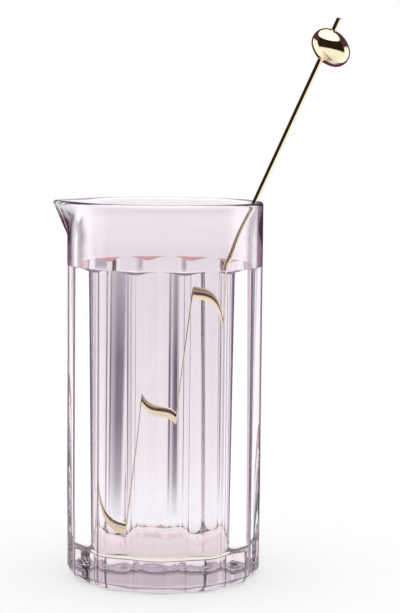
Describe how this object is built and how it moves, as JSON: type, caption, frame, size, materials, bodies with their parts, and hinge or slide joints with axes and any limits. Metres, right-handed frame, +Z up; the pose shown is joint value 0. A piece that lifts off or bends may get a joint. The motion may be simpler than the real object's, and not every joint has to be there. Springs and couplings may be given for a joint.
{
  "type": "cocktail pitcher",
  "caption": "Straight pressed-glass mixing pitcher with a plain round band, a pulled pouring spout, a lobed body and a thick base, with a metal stirrer leaning in it.",
  "frame": {"origin": "centre of the base's underside, on the axis of the glass", "axes": "+Z up along the axis of the glass, -X towards the spout, the stirrer's bead leans towards +X"},
  "size_m": [0.1505, 0.1, 0.2863],
  "materials": {
    "tinted_glass": "clear fire-polished glass with a pale lavender-pink tint through its whole thickness",
    "pale_gold": "mirror-polished pale gold plate"
  },
  "bodies": {
    "pitcher": {"glass_pitcher": "tinted_glass"},
    "stirrer": {"stirrer_rod": "pale_gold", "stirrer_bead": "pale_gold"}
  },
  "joints": [
    {"name": "stirrer_lift", "type": "slide", "parent": "pitcher", "child": "stirrer", "axis": [0.4076, 0.0128, 0.9131], "range_m": [0, 0.2]}
  ]
}
